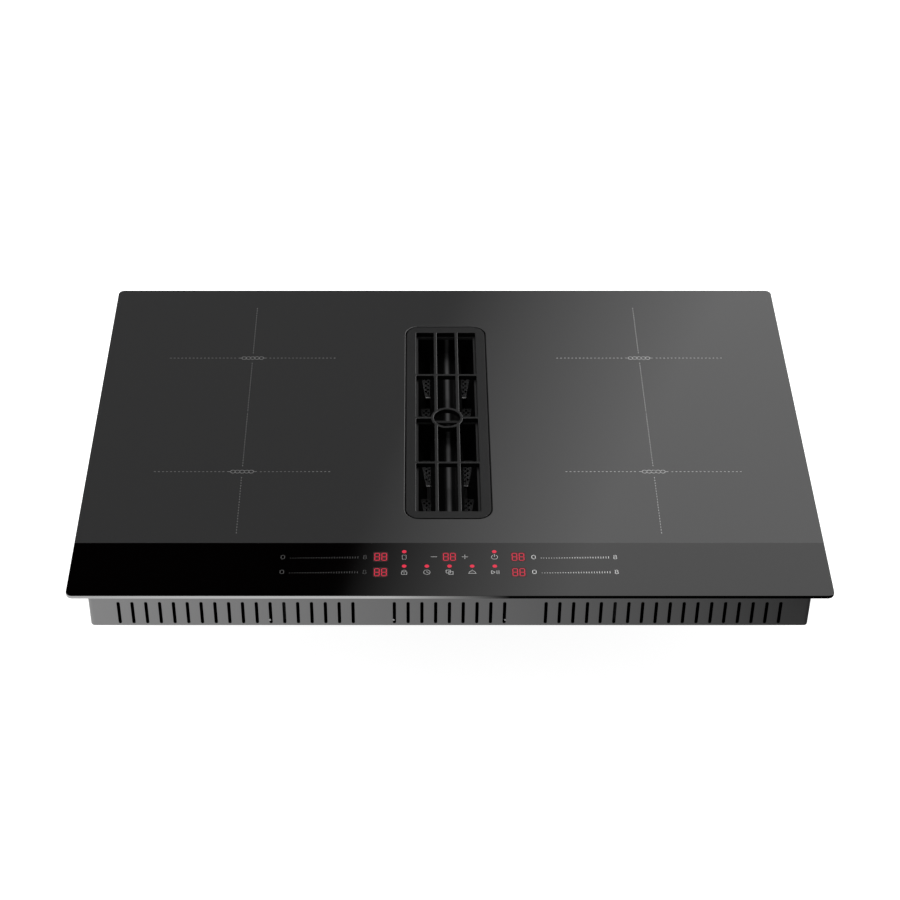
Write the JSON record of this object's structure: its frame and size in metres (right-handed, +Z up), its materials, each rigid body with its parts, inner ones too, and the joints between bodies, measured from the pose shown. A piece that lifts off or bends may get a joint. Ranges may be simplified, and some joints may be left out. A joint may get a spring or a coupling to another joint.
{
  "type": "venting induction cooktop",
  "caption": "Built-in induction hob with a central downdraft extractor: ceramic glass plate, lift-out grille and filters, slotted casing and a blower below.",
  "frame": {"origin": "centre of the worktop cut-out, on the worktop surface that the rim seal rests on", "axes": "+Z up, -Y towards the user, +X to the user's right"},
  "size_m": [0.77, 0.52, 0.2043],
  "materials": {
    "ceramic_glass": "polished black ceramic glass with a fine print",
    "foam": "closed-cell foam",
    "silicone": "silicone rubber",
    "casing_steel": "satin black powder coat",
    "grille_iron": "matt black enamel over a casting",
    "well_plastic": "moulded black",
    "cassette_plastic": "moulded black",
    "filter_metal": "perforated sheet",
    "duct_plastic": "moulded black",
    "motor_metal": "die cast",
    "shaft_steel": "ground",
    "impeller_plastic": "glass-filled grey",
    "mica": "pressed mica",
    "ferrite": "sintered",
    "sensor_plastic": "natural",
    "board": "solder mask",
    "display": "tinted, lit red",
    "spring_steel": "plated",
    "plate_aluminium": "rolled sheet",
    "carrier_plastic": "heat resistant",
    "copper_winding": "lacquered litz wire",
    "components": "mixed",
    "sink_aluminium": "extruded",
    "fan_plastic": "moulded black",
    "clamp_steel": "zinc plated"
  },
  "bodies": {
    "hob": {"blower_lid": "duct_plastic", "blower_motor": "motor_metal", "blower_scroll": "duct_plastic", "board_standoffs": "sensor_plastic", "cable_gland": "well_plastic", "casing_tray": "casing_steel", "coil_back_left": "copper_winding", "coil_back_right": "copper_winding", "coil_carrier_back_left": "carrier_plastic", "coil_carrier_back_right": "carrier_plastic", "coil_carrier_front_left": "carrier_plastic", "coil_carrier_front_right": "carrier_plastic", "coil_cushions": "silicone", "coil_front_left": "copper_winding", "coil_front_right": "copper_winding", "coil_plate_left": "plate_aluminium", "coil_plate_right": "plate_aluminium", "display_modules": "display", "duct_spigot": "duct_plastic", "fan_frame_left": "fan_plastic", "fan_frame_right": "fan_plastic", "ferrite_bars": "ferrite", "glass_top": "ceramic_glass", "heatsink_left": "sink_aluminium", "heatsink_right": "sink_aluminium", "inlet_well": "well_plastic", "machine_screws": "shaft_steel", "mica_discs": "mica", "plenum_box": "duct_plastic", "power_board_left": "board", "power_board_right": "board", "power_parts_left": "components", "power_parts_right": "components", "rim_seal": "foam", "terminal_block": "sensor_plastic", "terminal_box": "well_plastic", "touch_board": "board", "touch_holder": "sensor_plastic", "touch_springs": "spring_steel", "well_gasket": "silicone", "zone_sensors": "sensor_plastic"},
    "grille": {"air_grille": "grille_iron", "grille_pads": "silicone"},
    "cassette_rear": {"cassette_back": "cassette_plastic", "filter_mesh_back": "filter_metal"},
    "cassette_fore": {"cassette_front": "cassette_plastic", "filter_mesh_front": "filter_metal"},
    "tray": {"drip_tray": "duct_plastic"},
    "impeller": {"blower_impeller": "impeller_plastic", "impeller_cage": "impeller_plastic", "impeller_shaft": "shaft_steel"},
    "flap_low": {"flap_lower": "duct_plastic"},
    "flap_high": {"flap_upper": "duct_plastic"},
    "rotor_left": {"fan_rotor_left": "fan_plastic"},
    "rotor_right": {"fan_rotor_right": "fan_plastic"},
    "cover": {"terminal_cover": "well_plastic"},
    "clamp_fl": {"clamp_front_left": "clamp_steel"},
    "clamp_fr": {"clamp_front_right": "clamp_steel"},
    "clamp_bl": {"clamp_back_left": "clamp_steel"},
    "clamp_br": {"clamp_back_right": "clamp_steel"}
  },
  "joints": [
    {"name": "grille_lift", "type": "slide", "parent": "hob", "child": "grille", "axis": [0, 0, 1], "range_m": [0, 0.2]},
    {"name": "rear_cassette_lift", "type": "slide", "parent": "hob", "child": "cassette_rear", "axis": [0, 0, 1], "range_m": [0, 0.11]},
    {"name": "fore_cassette_lift", "type": "slide", "parent": "hob", "child": "cassette_fore", "axis": [0, 0, 1], "range_m": [0, 0.11]},
    {"name": "drip_tray_slide", "type": "slide", "parent": "hob", "child": "tray", "axis": [0, -1, 0], "range_m": [0, 0.09]},
    {"name": "impeller_spin", "type": "hinge", "parent": "hob", "child": "impeller", "pos_m": [0, 0.085, -0.15], "axis": [0, 0, 1], "continuous": true},
    {"name": "lower_flap_swing", "type": "hinge", "parent": "hob", "child": "flap_low", "pos_m": [0.0395, 0.22, -0.1568], "axis": [1, 0, 0], "range_deg": [0, 75]},
    {"name": "upper_flap_swing", "type": "hinge", "parent": "hob", "child": "flap_high", "pos_m": [0.0395, 0.22, -0.1163], "axis": [1, 0, 0], "range_deg": [0, 75]},
    {"name": "left_fan_spin", "type": "hinge", "parent": "hob", "child": "rotor_left", "pos_m": [-0.282, 0.186, -0.04], "axis": [0, 0, 1], "continuous": true},
    {"name": "right_fan_spin", "type": "hinge", "parent": "hob", "child": "rotor_right", "pos_m": [0.282, 0.186, -0.04], "axis": [0, 0, 1], "continuous": true},
    {"name": "terminal_cover_hinge", "type": "hinge", "parent": "hob", "child": "cover", "pos_m": [0.2, 0.163, -0.0843], "axis": [1, 0, 0], "range_deg": [-100, 0]},
    {"name": "front_left_clamp_swing", "type": "hinge", "parent": "hob", "child": "clamp_fl", "pos_m": [-0.348, -0.214, -0.056], "axis": [0, 0, -1], "range_deg": [0, 90]},
    {"name": "front_right_clamp_swing", "type": "hinge", "parent": "hob", "child": "clamp_fr", "pos_m": [0.348, -0.214, -0.056], "axis": [0, 0, 1], "range_deg": [0, 90]},
    {"name": "back_left_clamp_swing", "type": "hinge", "parent": "hob", "child": "clamp_bl", "pos_m": [-0.348, 0.214, -0.056], "axis": [0, 0, 1], "range_deg": [0, 90]},
    {"name": "back_right_clamp_swing", "type": "hinge", "parent": "hob", "child": "clamp_br", "pos_m": [0.348, 0.214, -0.056], "axis": [0, 0, -1], "range_deg": [0, 90]}
  ],
  "couplings": [
    {"joint": "rear_cassette_lift", "follows": "grille_lift", "ratio": 0.55},
    {"joint": "fore_cassette_lift", "follows": "grille_lift", "ratio": 0.55}
  ]
}
